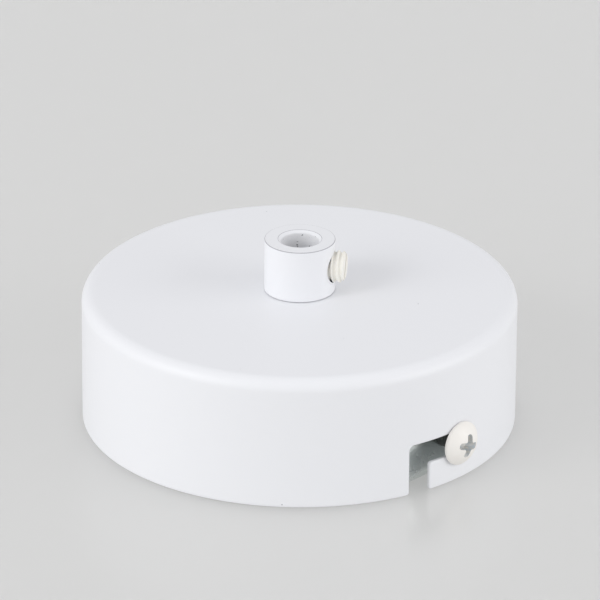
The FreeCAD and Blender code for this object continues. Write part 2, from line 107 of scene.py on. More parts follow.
def linear(hex_colour):
    """An sRGB hex colour as linear RGBA."""
    values = [int(hex_colour[i:i + 2], 16) / 255 for i in (1, 3, 5)]
    return [v / 12.92 if v <= 0.04045 else ((v + 0.055) / 1.055) ** 2.4 for v in values] + [1.0]


def add_node(tree, kind, settings=None, links=None):
    """Add a node, set its sockets or properties, and link its inputs."""
    node = tree.nodes.new(kind)
    for name, value in (settings or {}).items():
        if isinstance(name, int) or name in node.inputs:
            node.inputs[name].default_value = value
        else:
            setattr(node, name, value)
    for name, source in (links or {}).items():
        tree.links.new(source, node.inputs[name])
    return node


def new_finish(name, **settings):
    """A material with one Principled shader, and places in space to hang patterns on."""
    finish = bpy.data.materials.new(name)
    finish.use_nodes = True
    tree = finish.node_tree
    shader = tree.nodes["Principled BSDF"]
    for socket, value in settings.items():
        shader.inputs[socket.replace("_", " ")].default_value = value
    places = add_node(tree, "ShaderNodeTexCoord").outputs["Object"]
    return finish, tree, shader, places


def per_mm(size):
    """The scale of a pattern whose features are this many millimetres across."""
    return 1 / (size * MM)


print("white", [round(v, 3) for v in linear("#FFFFFF")])

# %% [markdown]
# ## White powder coat
# The cup and the grip are coated with polyester powder that melts in an oven and flows out. The melt leaves
# a satin skin with a faint orange peel, waves of a millimetre or so that only show in the reflections, and
# a few specks of dust. A plain white shader would look like plaster, so the peel is a bump, the gloss
# wanders a little over centimetres, and rare dots darken the white.

# %% Powder coat
PEEL_SIZE = 1.3
GLOSS_PATCH = 14.0
SPECK_CELL = 5.0
SPECK_RADIUS = 0.15
SPECK_SHARE = 0.3

# To the eye: a clean, faintly cool white with soft highlights, and a speck here and there.
coat, tree, shader, places = new_finish("satin white powder coat", IOR=1.5)
peel = add_node(tree, "ShaderNodeTexNoise", {"Scale": per_mm(PEEL_SIZE), "Detail": 2.0}, {"Vector": places})
bump = add_node(
    tree, "ShaderNodeBump", {"Strength": 0.12, "Distance": 0.02 * MM}, {"Height": peel.outputs["Fac"]})
tree.links.new(bump.outputs["Normal"], shader.inputs["Normal"])
patches = add_node(tree, "ShaderNodeTexNoise", {"Scale": per_mm(GLOSS_PATCH)}, {"Vector": places})
gloss = add_node(
    tree, "ShaderNodeMapRange", {"To Min": 0.36, "To Max": 0.48}, {"Value": patches.outputs["Fac"]})
tree.links.new(gloss.outputs["Result"], shader.inputs["Roughness"])
cells = add_node(
    tree, "ShaderNodeTexVoronoi", {"Scale": per_mm(SPECK_CELL), "Randomness": 1.0}, {"Vector": places})
near_middle = add_node(
    tree, "ShaderNodeMapRange",
    {"From Min": SPECK_RADIUS / SPECK_CELL, "From Max": 0.6 * SPECK_RADIUS / SPECK_CELL},
    {"Value": cells.outputs["Distance"]})
lot = add_node(tree, "ShaderNodeSeparateColor", {}, {"Color": cells.outputs["Color"]})
chosen = add_node(
    tree, "ShaderNodeMath", {"operation": "LESS_THAN", 1: SPECK_SHARE}, {0: lot.outputs["Red"]})
speck = add_node(
    tree, "ShaderNodeMath", {"operation": "MULTIPLY"},
    {0: near_middle.outputs["Result"], 1: chosen.outputs["Value"]})
tone = add_node(
    tree, "ShaderNodeMix", {"data_type": "RGBA", 6: linear("#F0F1F4"), 7: linear("#A9AAB0")},
    {"Factor": speck.outputs["Value"]})
tree.links.new(tone.outputs[2], shader.inputs["Base Color"])
print("made", coat.name)

# %% [markdown]
# ## Grey line on the grip's edges
# The edge of the grip's face and the rim of its bore are drawn as a fine grey line. A narrow ring of faces
# gets this finish, patchy along its length.

# %% Edge finish
EDGE_PATCH = 1.6

# To the eye: a fine grey line that draws the edges of a white piece on a white ground.
grey_edge, tree, shader, places = new_finish("grey line at the grip's edges", Roughness=0.4, IOR=1.5)
patches = add_node(tree, "ShaderNodeTexNoise", {"Scale": per_mm(EDGE_PATCH)}, {"Vector": places})
tone = add_node(
    tree, "ShaderNodeMix", {"data_type": "RGBA", 6: linear("#9C9DA2"), 7: linear("#D2D3D7")},
    {"Factor": patches.outputs["Fac"]})
tree.links.new(tone.outputs[2], shader.inputs["Base Color"])
print("made", grey_edge.name)

# %% [markdown]
# ## Screw lacquer and nylon
# The side screws are sprayed with a warmer white lacquer than the cup. The clamping screw is moulded in
# natural nylon, which is ivory and lets light in a little way, so it has some subsurface scattering. Both
# could be one flat colour on pieces this small, but a faint mottle keeps the screws from looking printed.

# %% Lacquer and nylon
MOTTLE_SIZE = 2.4
# Moulded nylon's own grain is some hundredths of a millimetre and finer than a pixel, so it is drawn coarser.
NYLON_GRAIN = 0.5

# To the eye: a creamier white than the cup's, which sets the screw heads off from the wall.
lacquer, tree, shader, places = new_finish("warm white screw lacquer", IOR=1.5)
mottle = add_node(
    tree, "ShaderNodeTexNoise", {"Scale": per_mm(MOTTLE_SIZE), "Detail": 3.0}, {"Vector": places})
tone = add_node(
    tree, "ShaderNodeMix", {"data_type": "RGBA", 6: linear("#F4EFE9"), 7: linear("#FCFAF5")},
    {"Factor": mottle.outputs["Fac"]})
tree.links.new(tone.outputs[2], shader.inputs["Base Color"])
gloss = add_node(
    tree, "ShaderNodeMapRange", {"To Min": 0.36, "To Max": 0.48}, {"Value": mottle.outputs["Fac"]})
tree.links.new(gloss.outputs["Result"], shader.inputs["Roughness"])
bump = add_node(
    tree, "ShaderNodeBump", {"Strength": 0.15, "Distance": 0.02 * MM}, {"Height": mottle.outputs["Fac"]})
tree.links.new(bump.outputs["Normal"], shader.inputs["Normal"])

# To the eye: ivory, soft in its shadows and a little bright where the thread is thin.
nylon, tree, shader, places = new_finish(
    "natural nylon", Roughness=0.45, IOR=1.53,
    Subsurface_Weight=0.15, Subsurface_Scale=0.5 * MM, Subsurface_Radius=(1.0, 0.9, 0.75))
grain = add_node(
    tree, "ShaderNodeTexNoise", {"Scale": per_mm(NYLON_GRAIN), "Detail": 3.0}, {"Vector": places})
bump = add_node(
    tree, "ShaderNodeBump", {"Strength": 0.2, "Distance": 0.02 * MM}, {"Height": grain.outputs["Fac"]})
tree.links.new(bump.outputs["Normal"], shader.inputs["Normal"])
tone = add_node(
    tree, "ShaderNodeMix", {"data_type": "RGBA", 6: linear("#F2EFE6"), 7: linear("#F8F6EF")},
    {"Factor": grain.outputs["Fac"]})
tree.links.new(tone.outputs[2], shader.inputs["Base Color"])
print("made", lacquer.name, "and", nylon.name)

# %% [markdown]
# ## Zinc plate and brass
# The bracket, nut and washers are bright zinc plate: a metal with a cool tint, the lines that the strip got
# in the rolling mill, and cloudy patches where the plating is thicker. The earth screw is turned brass with
# the lathe's rings on it. A metal has hardly any colour of its own in the dark, so what its roughness does
# to reflections matters most, and the clouds steer that too.

# %% Zinc plate and brass
# Real rolling lines and lathe rings are about a tenth of a millimetre apart, so both are drawn coarser.
ROLLING_LINE = 0.25
ROLLING_LENGTH = 12.0
LATHE_RING = 0.5
CLOUD_SIZE = 5.0

# To the eye: a cool grey metal that shows the dark inside of the cup, more blurred in some patches.
zinc, tree, shader, places = new_finish("bright zinc plate", Metallic=1.0)
stretched = add_node(
    tree, "ShaderNodeMapping",
    {"Scale": (per_mm(ROLLING_LENGTH), per_mm(ROLLING_LINE), per_mm(ROLLING_LENGTH))}, {"Vector": places})
lines = add_node(
    tree, "ShaderNodeTexNoise", {"Scale": 1.0, "Detail": 3.0}, {"Vector": stretched.outputs["Vector"]})
bump = add_node(
    tree, "ShaderNodeBump", {"Strength": 0.1, "Distance": 0.01 * MM}, {"Height": lines.outputs["Fac"]})
tree.links.new(bump.outputs["Normal"], shader.inputs["Normal"])
clouds = add_node(
    tree, "ShaderNodeTexNoise", {"Scale": per_mm(CLOUD_SIZE), "Detail": 4.0}, {"Vector": places})
tone = add_node(
    tree, "ShaderNodeMix", {"data_type": "RGBA", 6: linear("#DAE1DF"), 7: linear("#F0F4F2")},
    {"Factor": clouds.outputs["Fac"]})
tree.links.new(tone.outputs[2], shader.inputs["Base Color"])
gloss = add_node(
    tree, "ShaderNodeMapRange", {"To Min": 0.20, "To Max": 0.34}, {"Value": clouds.outputs["Fac"]})
tree.links.new(gloss.outputs["Result"], shader.inputs["Roughness"])

# To the eye: a warm yellow metal, mottled by a little tarnish, in rings round its middle.
brass, tree, shader, places = new_finish("turned brass", Metallic=1.0)
centred = add_node(
    tree, "ShaderNodeMapping", {"Location": (0, 0, -EARTH_AXIS * MM)}, {"Vector": places})
rings = add_node(
    tree, "ShaderNodeTexWave",
    {"wave_type": "RINGS", "rings_direction": "Y", "Scale": math.pi / 10 * per_mm(LATHE_RING),
     "Distortion": 1.5},
    {"Vector": centred.outputs["Vector"]})
bump = add_node(
    tree, "ShaderNodeBump", {"Strength": 0.15, "Distance": 0.01 * MM}, {"Height": rings.outputs["Fac"]})
tree.links.new(bump.outputs["Normal"], shader.inputs["Normal"])
tarnish = add_node(
    tree, "ShaderNodeTexNoise", {"Scale": per_mm(CLOUD_SIZE), "Detail": 4.0}, {"Vector": places})
tone = add_node(
    tree, "ShaderNodeMix", {"data_type": "RGBA", 6: linear("#B48F48"), 7: linear("#D6B670")},
    {"Factor": tarnish.outputs["Fac"]})
tree.links.new(tone.outputs[2], shader.inputs["Base Color"])
gloss = add_node(
    tree, "ShaderNodeMapRange", {"To Min": 0.36, "To Max": 0.20}, {"Value": tarnish.outputs["Fac"]})
tree.links.new(gloss.outputs["Result"], shader.inputs["Roughness"])
print("made", zinc.name, "and", brass.name)

# %% [markdown]
# ## Where the coat is thin or gone, and painted shade
# The grip is cast. The powder only dusts its bore, so the wall there is pale and mottled, with dark pits
# where the casting shows. The side hole was threaded after casting, and its wall is near black: painted
# shade for the shadow in the thin gap round the clamping screw. The screws' shanks were never sprayed, and
# their zinc is darkened as painted shade for the shadow deep in the slot. In their cross recesses the driver
# has scraped the lacquer off, so streaky steel is left. Each could be painted on with a mask, but a finish
# for the faces in question is simpler and stays sharp.

# %% Bare and dusted places
DUST_GRAIN = 0.9
PIT_SIZE = 0.6
SHANK_NOISE_SIZE = 2.0
SCRAPE_SIZE = 0.7

# To the eye: a pale grey wall that is cloudy and has a few dark pits.
dusted, tree, shader, places = new_finish("die cast zinc dusted with powder", Roughness=0.45, IOR=1.5)
grain = add_node(
    tree, "ShaderNodeTexNoise",
    {"Scale": per_mm(DUST_GRAIN), "Detail": 5.0, "Roughness": 0.65}, {"Vector": places})
tone = add_node(
    tree, "ShaderNodeMix", {"data_type": "RGBA", 6: linear("#ECEDF2"), 7: linear("#FFFFFF")},
    {"Factor": grain.outputs["Fac"]})
pits = add_node(tree, "ShaderNodeTexNoise", {"Scale": per_mm(PIT_SIZE), "Detail": 2.0}, {"Vector": places})
pit = add_node(
    tree, "ShaderNodeMapRange", {"From Min": 0.67, "From Max": 0.74}, {"Value": pits.outputs["Fac"]})
pitted = add_node(
    tree, "ShaderNodeMix", {"data_type": "RGBA", 7: linear("#8D8E93")},
    {"Factor": pit.outputs["Result"], 6: tone.outputs[2]})
tree.links.new(pitted.outputs[2], shader.inputs["Base Color"])
bump = add_node(
    tree, "ShaderNodeBump", {"Strength": 0.4, "Distance": 0.05 * MM}, {"Height": grain.outputs["Fac"]})
tree.links.new(bump.outputs["Normal"], shader.inputs["Normal"])

# To the eye: a dark line round the clamping screw. Its near black is painted shade for the gap round the
# screw.
hole_shade, tree, shader, places = new_finish("clamp hole painted shade", Roughness=0.5, IOR=1.5)
grain = add_node(
    tree, "ShaderNodeTexNoise", {"Scale": per_mm(DUST_GRAIN), "Detail": 3.0}, {"Vector": places})
tone = add_node(
    tree, "ShaderNodeMix", {"data_type": "RGBA", 6: linear("#2B2C2E"), 7: linear("#4A4B4D")},
    {"Factor": grain.outputs["Fac"]})
tree.links.new(tone.outputs[2], shader.inputs["Base Color"])
bump = add_node(
    tree, "ShaderNodeBump", {"Strength": 0.4, "Distance": 0.05 * MM}, {"Height": grain.outputs["Fac"]})
tree.links.new(bump.outputs["Normal"], shader.inputs["Normal"])

# To the eye: a dim grey shank that stays in the background. The zinc is darkened as painted shade for the
# shadow deep in the slot.
shank_shade, tree, shader, places = new_finish("zinc shank darkened as painted shade", Metallic=1.0)
shank_noise = add_node(tree, "ShaderNodeTexNoise", {"Scale": per_mm(SHANK_NOISE_SIZE), "Detail": 2.0}, {"Vector": places})
tone = add_node(
    tree, "ShaderNodeMix", {"data_type": "RGBA", 6: linear("#626564"), 7: linear("#868986")},
    {"Factor": shank_noise.outputs["Fac"]})
tree.links.new(tone.outputs[2], shader.inputs["Base Color"])
gloss = add_node(
    tree, "ShaderNodeMapRange", {"To Min": 0.42, "To Max": 0.58}, {"Value": shank_noise.outputs["Fac"]})
tree.links.new(gloss.outputs["Result"], shader.inputs["Roughness"])

# To the eye: a grey cross whose wings change between bluish and brownish.
scraped, tree, shader, places = new_finish("scraped steel", Metallic=0.35, Roughness=0.42)
streaks = add_node(
    tree, "ShaderNodeTexNoise", {"Scale": per_mm(SCRAPE_SIZE), "Detail": 3.0}, {"Vector": places})
contrast = add_node(
    tree, "ShaderNodeMapRange", {"From Min": 0.35, "From Max": 0.65}, {"Value": streaks.outputs["Fac"]})
tone = add_node(
    tree, "ShaderNodeMix", {"data_type": "RGBA", 6: linear("#C3CCD2"), 7: linear("#E0DCD5")},
    {"Factor": contrast.outputs["Result"]})
tree.links.new(tone.outputs[2], shader.inputs["Base Color"])
bump = add_node(
    tree, "ShaderNodeBump", {"Strength": 0.3, "Distance": 0.04 * MM}, {"Height": streaks.outputs["Fac"]})
tree.links.new(bump.outputs["Normal"], shader.inputs["Normal"])
print("made", ", ".join(finish.name for finish in (dusted, hole_shade, shank_shade, scraped)))

# %% [markdown]
# ## Making meshes
# Most pieces here were turned on a lathe or stamped from sheet, so two ways of making a mesh are enough. A
# turned piece is a list of rows, each a radius and a height, swept round an axis. A thread is the same
# sweep with the radius sunk along a helix. Both are exact at any fineness, and no subdivision has to
# guess where the edges are. Points are in millimetres until a piece is made.

# %% Turned pieces and threads
WELD = 1e-6
ROWS_PER_TURN = 14
# A metric thread has a flat crest of an eighth of its pitch and flanks of five eighths.
CREST_SHARE = 0.125
FLANK_SHARE = 0.625
SHARP = math.radians(38)


def grid_faces(rows, columns, closed):
    """Quads over rows of points. Closed joins the last column to the first."""
    last = columns if closed else columns - 1
    return [[r * columns + c, r * columns + (c + 1) % columns,
             (r + 1) * columns + (c + 1) % columns, (r + 1) * columns + c]
            for r in range(rows - 1) for c in range(last)]


def turned(rows, columns, pitch=1.0, start=0.0):
    """Sweep rows of (radius, height, thread depth, crest) round Z. A thread starts at a share of a turn."""
    radius, height, depth, crest = (column[:, None] for column in np.array(
        [row if len(row) == 4 else (*row, 0.0, row[0]) for row in rows], float).T)
    turn = np.linspace(0, 2 * np.pi, columns, endpoint=False)
    flank = np.abs(2 * ((height / pitch - turn / (2 * np.pi) - start) % 1.0) - 1)
    sunk = crest - depth * np.clip((flank - CREST_SHARE) / FLANK_SHARE, 0, 1)
    radius = np.where(depth > 0, np.minimum(radius, sunk), radius)
    points = np.stack([radius * np.cos(turn), radius * np.sin(turn), height + 0 * turn], axis=-1)
    return points.reshape(-1, 3), grid_faces(len(rows), columns, closed=True)


def thread(low, high, radius, pitch, depth, lead_low=0.0, lead_high=0.0):
    """Rows of a thread between two heights, with a cone cut on either end."""
    rows = []
    for height in np.linspace(low, high, round((high - low) / pitch * ROWS_PER_TURN) + 1):
        cone = min(radius - lead_low + height - low, radius - lead_high + high - height)
        rows.append((min(radius, cone), height, depth, radius))
    return rows


def arc(centre, radius, start, stop, steps):
    """Points on an arc of (radius, height), angles in degrees."""
    angles = np.radians(np.linspace(start, stop, steps + 1))
    return [(centre[0] + radius * math.cos(a), centre[1] + radius * math.sin(a)) for a in angles]


def weld(mesh):
    """Join points that coincide, split faces of many corners, and turn all faces outwards."""
    shape = bmesh.new()
    shape.from_mesh(mesh)
    bmesh.ops.remove_doubles(shape, verts=shape.verts, dist=WELD)
    bmesh.ops.triangulate(shape, faces=[face for face in shape.faces if len(face.verts) > 4])
    bmesh.ops.recalc_face_normals(shape, faces=shape.faces)
    shape.to_mesh(mesh)
    shape.free()


def add_piece(name, points, faces, finish):
    """A welded mesh object from points in millimetres."""
    mesh = bpy.data.meshes.new(name)
    mesh.from_pydata((np.asarray(points) * MM).tolist(), [], faces)
    weld(mesh)
    mesh.materials.append(finish)
    piece = bpy.data.objects.new(name, mesh)
    bpy.context.scene.collection.objects.link(piece)
    return piece


def coat_faces(piece, finish, chosen):
    """Give another finish to the faces whose middle, in millimetres, passes a test."""
    piece.data.materials.append(finish)
    index = len(piece.data.materials) - 1
    for face in piece.data.polygons:
        if chosen(face.center / MM):
            face.material_index = index


def carve(piece, cutter):
    """Cut one closed mesh out of another. The cut faces take the cutter's finish."""
    cut = piece.modifiers.new("cut", "BOOLEAN")
    cut.solver = "EXACT"
    cut.material_mode = "TRANSFER"
    cut.object = cutter
    whole = piece.data
    piece.data = bpy.data.meshes.new_from_object(piece.evaluated_get(bpy.context.evaluated_depsgraph_get()))
    piece.modifiers.clear()
    weld(piece.data)
    bpy.data.meshes.remove(whole)
    bpy.data.objects.remove(cutter)


def stand_for(piece, node):
    """Shade a finished piece smooth between its edges, and let it stand for a CAD node."""
    piece.data.shade_smooth()
    piece.data.set_sharp_from_angle(angle=SHARP)
    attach(piece, BODY_OF[node])
    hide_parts(node)
    faces = sum(len(face.vertices) - 2 for face in piece.data.polygons)
    print(f"{piece.name}: {faces} triangles, for {node}")


# %% [markdown]
# ## Stamped sheet
# A stamped sheet has rounded cut edges, and the light on those edges is what makes it look like metal. A
# bevel modifier could round them, but it stumbles over small corners. So the outline is walked once, corner
# by corner, and a narrow band of faces is laid along it that rolls from the front of the sheet over the edge
# to the back. The flat faces between the bands are filled with a Delaunay mesh, and a function then bends
# or wraps the flat pattern into its place.

# %% Sheet helpers
CORNER_STEP = math.radians(15)
QUARTER = 1 - math.sqrt(0.5)


def rounded(corners, spacing):
    """Walk along corners (u, v, radius): points, and the unit vectors to the left of the walk."""
    spots = [Vector(corner[:2]) for corner in corners]
    points, lefts = [], []

    def run(start, stop):
        steps = max(1, round((stop - start).length / spacing))
        along = (stop - start).normalized()
        for i in range(steps):
            points.append(start.lerp(stop, i / steps))
            lefts.append(Vector((-along.y, along.x)))

    here = spots[0]
    for before, corner, after, (_, _, radius) in zip(spots, spots[1:], spots[2:], corners[1:]):
        coming = (corner - before).normalized()
        going = (after - corner).normalized()
        turn = -coming.angle_signed(going)
        side = math.copysign(1, turn)
        cut = radius * math.tan(abs(turn) / 2)
        run(here, corner - coming * cut)
        left = Vector((-coming.y, coming.x))
        centre = corner - coming * cut + left * radius * side
        steps = math.ceil(abs(turn) / CORNER_STEP)
        for i in range(steps):
            spoke = Matrix.Rotation(turn * i / steps, 2) @ left
            points.append(centre - spoke * radius * side)
            lefts.append(spoke)
        here = corner + going * cut
    run(here, spots[-1])
    points.append(spots[-1])
    lefts.append(lefts[-1])
    return np.array(points), np.array(lefts)


def rolled_edge(thickness, radius):
    """The section of a cut edge: steps of (distance into the sheet, depth), front to back."""
    corner = [(2 * radius, 0), (radius, 0), (QUARTER * radius, QUARTER * radius), (0, radius)]
    return corner + [(inset, thickness - depth) for inset, depth in reversed(corner)]


def edge_rows(path, lefts, section):
    """Rows of (u, v, depth) along a cut edge."""
    return [np.column_stack([path + lefts * inset, np.full(len(path), depth)])
            for inset, depth in section]


def inside(points, loops):
    """Which points lie inside a set of loops: those with an odd count of borders to one side."""
    crossed = np.zeros(len(points), int)
    x, y = points[:, :1], points[:, 1:2]
    for loop in loops:
        ahead = np.roll(loop, -1, axis=0)
        rise = ahead[:, 1] - loop[:, 1]
        level = np.where(rise == 0, 1.0, rise)
        meet = loop[:, 0] + (y - loop[:, 1]) * (ahead[:, 0] - loop[:, 0]) / level
        crossed += (((loop[:, 1] > y) != (ahead[:, 1] > y)) & (x < meet)).sum(axis=1)
    return crossed % 2 == 1


def fill(loops, us, vs, clear):
    """Triangles inside the loops, with grid points at (us, vs) that keep clear of the borders."""
    grid = np.array([(u, v) for u in us for v in vs])
    grid = grid[inside(grid, loops)]
    borders = np.vstack(loops)
    gaps = np.array([np.min(np.hypot(*(borders - spot).T)) for spot in grid])
    grid = grid[gaps > clear]
    edges, start = [], 0
    for loop in loops:
        edges += [(start + i, start + (i + 1) % len(loop)) for i in range(len(loop))]
        start += len(loop)
    spots = [Vector(spot) for spot in np.vstack([borders, grid])]
    made = delaunay_2d_cdt(spots, edges, [], 0, WELD)
    points = np.array([tuple(spot) for spot in made[0]])
    middles = np.array([points[list(face)].mean(axis=0) for face in made[2]])
    return points, [list(face) for face, kept in zip(made[2], inside(middles, loops)) if kept]


def joined(parts):
    """Several lots of points and faces as one."""
    faces, start = [], 0
    for points, some in parts:
        faces += [[i + start for i in face] for face in some]
        start += len(points)
    return np.vstack([points for points, _ in parts]), faces


# %% [markdown]
# ## The cup
# The cup was drawn from one disc of steel: a flat top, a rounded edge, a straight wall, and two L-shaped
# bayonet slots punched up from the rim. The slots could be cut from a turned cup with a boolean, but then
# their edges would stay sharp. So the wall is unrolled flat, where its lower edge with the slots is one
# walk, and then wrapped round the axis. The top and the rounded edge are a turned piece welded to it.

# %% Walk along the cup's lower edge
CUP_COLUMNS = 240
SLOT_HALF = SCREW_RADIUS + 0.4
SEAT_GAP = 0.05
SLOT_CORNER = 1.0
TAB_CORNER = 0.6
MOUTH_CORNER = 0.5

around = 2 * math.pi * CUP_RADIUS
column = around / CUP_COLUMNS
first = -around / 4
reach = CUP_RADIUS * math.sin(UNLOCK_TURN / 2)
slot_low = SCREW_HEIGHT - SCREW_RADIUS - SEAT_GAP
slot_high = slot_low + 2 * SLOT_HALF


def unrolled(across):
    """Distance along the wall of a point that lies this far to one side of the slot's middle."""
    return CUP_RADIUS * (math.asin(across / CUP_RADIUS) - UNLOCK_TURN / 2)


mouth, tab, seat = (unrolled(y) for y in (-reach - SLOT_HALF, -reach + SLOT_HALF, reach + SLOT_HALF))
corners = [(first, 0, 0)]
for shift in (0, around / 2):
    corners += [
        (mouth + shift, 0, MOUTH_CORNER),
        (mouth + shift, slot_high, SLOT_CORNER),
        (seat + shift, slot_high, SLOT_CORNER),
        (seat + shift, slot_low, SLOT_CORNER),
        (tab + shift, slot_low, TAB_CORNER),
        (tab + shift, 0, MOUTH_CORNER),
    ]
corners.append((first + around, 0, 0))
path, lefts = rounded(corners, column)
rows = edge_rows(path, lefts, rolled_edge(CUP_WALL, PAINT_ROUND))
print(f"lower edge: {len(path)} points round {around:.1f} mm, slot from {mouth:.2f} to {seat:.2f} mm")

# %% Fill the wall and turn the top
SHOULDER = CUP_HEIGHT - CUP_EDGE
HOLE_RADIUS = SPIGOT_RADIUS + 0.1
TOP_RINGS = (37.2, 33, 28, 23, 18, 14, 11, 9, 7.5, 6.5)

stations = first + column * np.arange(CUP_COLUMNS + 1)
levels = np.arange(1, round(SHOULDER / column)) * column
sides = levels[levels < SHOULDER - column / 2]
wall_loop = np.vstack([
    rows[0][:, :2],
    [(first + around, level) for level in sides],
    [(station, SHOULDER) for station in stations[::-1]],
    [(first, level) for level in sides[::-1]],
])
flat, triangles = fill([wall_loop], stations[1:-1], sides, 0.6 * column)


def wrapped(points):
    """Wrap (distance along, height, depth) round the axis."""
    turn = points[:, 0] / CUP_RADIUS
    radius = CUP_RADIUS - points[:, 2]
    return np.column_stack([radius * np.cos(turn), radius * np.sin(turn), points[:, 1]])


edge_middle = (CUP_RADIUS - CUP_EDGE, SHOULDER)
top_edge = [(HOLE_RADIUS + inset, CUP_HEIGHT - depth)
            for inset, depth in rolled_edge(CUP_WALL, PAINT_ROUND)]
cup_rows = arc(edge_middle, CUP_EDGE, 0, 90, steps=16)
cup_rows += [(ring, CUP_HEIGHT) for ring in TOP_RINGS]
cup_rows += top_edge
cup_rows += [(ring, CUP_HEIGHT - CUP_WALL) for ring in reversed(TOP_RINGS)]
cup_rows += arc(edge_middle, CUP_EDGE - CUP_WALL, 90, 0, steps=10)

faces_of_band = grid_faces(len(rows), len(path), closed=False)
cup = add_piece("canopy_cup", *joined([
    (wrapped(np.vstack(rows)), faces_of_band),
    (wrapped(np.column_stack([flat, np.zeros(len(flat))])), triangles),
    (wrapped(np.column_stack([flat, np.full(len(flat), CUP_WALL)])), triangles),
    turned(cup_rows, CUP_COLUMNS),
]), coat)
stand_for(cup, "canopy_shell")

# %% [markdown]
# ## The cord grip
# A cast bush with a threaded spigot: the spigot goes through the cup, and a nut holds it from inside. Its
# face has a countersunk bore for the cord. It is turned in one sweep, from the bore over the face and down
# the side to the thread, and a hole for the clamping screw is then cut out of its side. Two narrow rings of
# faces, at the edge of the face and round the countersink, take a grey finish that draws them as a fine line.

# %% Turn the grip
GRIP_COLUMNS = 144
EDGE_RING = 0.13
FOOT_GAP = 0.16
FOOT_INSET = 1.1
BORE_CHAMFER = 0.3
COUNTERSINK = 0.5
COUNTERSINK_RING = 0.07
LIP = 0.01
SPIGOT_PITCH = 1.0
SPIGOT_DEPTH = 0.6
SPIGOT_LEAD = 0.6
CLAMP_BEARING = math.radians(32.5)
CLAMP_HEIGHT = GRIP_FOOT + 5.1
CLAMP_RADIUS = 3.0
CLAMP_HOLE = CLAMP_RADIUS + 0.08
CLAMP_COLUMNS = 96
# Faces are picked by their middles with this much slack.
NEAR = 0.02

mouth_radius = BORE_RADIUS + COUNTERSINK
bore_levels = np.linspace(SPIGOT_FOOT + BORE_CHAMFER, GRIP_TOP - COUNTERSINK, 24)
side_levels = np.linspace(GRIP_TOP - 2 * EDGE_RING, GRIP_FOOT + 2 * FOOT_GAP, 22)
grip_rows = [(BORE_RADIUS, level) for level in bore_levels]
grip_rows += [
    (mouth_radius - 3 * LIP, GRIP_TOP - 4 * LIP),
    (mouth_radius, GRIP_TOP - LIP),
    (mouth_radius + COUNTERSINK_RING, GRIP_TOP),
    (mouth_radius + 3 * COUNTERSINK_RING, GRIP_TOP),
    (GRIP_RADIUS - 2 * EDGE_RING, GRIP_TOP),
    *arc((GRIP_RADIUS - EDGE_RING, GRIP_TOP - EDGE_RING), EDGE_RING, 90, 0, steps=4),
]
grip_rows += [(GRIP_RADIUS, level) for level in side_levels]
grip_rows += [
    (GRIP_RADIUS, GRIP_FOOT + FOOT_GAP),
    (GRIP_RADIUS - FOOT_INSET, GRIP_FOOT + FOOT_GAP),
    (GRIP_RADIUS - FOOT_INSET, GRIP_FOOT),
    (SPIGOT_RADIUS, GRIP_FOOT),
]
grip_rows += reversed(thread(
    SPIGOT_FOOT, GRIP_FOOT, SPIGOT_RADIUS, SPIGOT_PITCH, SPIGOT_DEPTH, lead_low=SPIGOT_LEAD))
grip_rows += [(BORE_RADIUS + BORE_CHAMFER, SPIGOT_FOOT), grip_rows[0]]
grip = add_piece("cord_grip_bush", *turned(grip_rows, GRIP_COLUMNS, SPIGOT_PITCH), coat)
coat_faces(grip, grey_edge, lambda p: p.z > GRIP_TOP - EDGE_RING and (
    mouth_radius - NEAR < p.xy.length < mouth_radius + COUNTERSINK_RING
    or p.xy.length > GRIP_RADIUS - EDGE_RING))
coat_faces(grip, dusted, lambda p: p.xy.length < BORE_RADIUS + NEAR)
coat_faces(grip, zinc, lambda p: p.xy.length > BORE_RADIUS + NEAR and p.z < GRIP_FOOT - NEAR / 2)


def aimed(bearing, turn, place):
    """The placement that lays a piece's +Z level along a bearing, after a turn about itself."""
    level = Matrix.Rotation(bearing, 4, "Z") @ Matrix.Rotation(math.pi / 2, 4, "Y")
    return Matrix.Translation(Vector(place) * MM) @ level @ Matrix.Rotation(turn, 4, "Z")


hole_rows = [(0, 0), (CLAMP_HOLE, 0), (CLAMP_HOLE, 2 * GRIP_RADIUS), (0, 2 * GRIP_RADIUS)]
# The hole's wall is near black: painted shade for the gap round the clamping screw.
drill = add_piece("clamp_hole", *turned(hole_rows, CLAMP_COLUMNS), hole_shade)
drill.data.transform(aimed(CLAMP_BEARING, 0, (0, 0, CLAMP_HEIGHT)))
carve(grip, drill)
stand_for(grip, "cord_grip")

# %% [markdown]
# ## The clamping screw
# A short headless screw of nylon pinches the cord, because a metal one would cut into its sleeve. Moulded
# threads are soft and shallow, and three of them show where the screw stands out of the grip. A bump could
# fake them, but they make the outline there, so they are geometry. The driver slot is cut across its end.

# %% Mould the clamping screw
CLAMP_LENGTH = 4.5
CLAMP_STANDOFF = 2.0
CLAMP_PITCH = 1.0
CLAMP_DEPTH = 0.42
CLAMP_START = 0.6
CLAMP_LEAD = 0.6
DRIVER_WIDTH = 1.0
DRIVER_DEPTH = 1.3
DRIVER_TURN = math.radians(155)
CUT_PAST = 1.0


def block(width, depth, height, top):
    """A box across the Z axis, for cutting a screwdriver slot."""
    points = [(x, y, z) for x in (-width, width) for y in (-depth, depth)
              for z in (top - height, top + height)]
    return points, [[0, 1, 3, 2], [4, 6, 7, 5], [0, 4, 5, 1], [2, 3, 7, 6], [0, 2, 6, 4], [1, 5, 7, 3]]


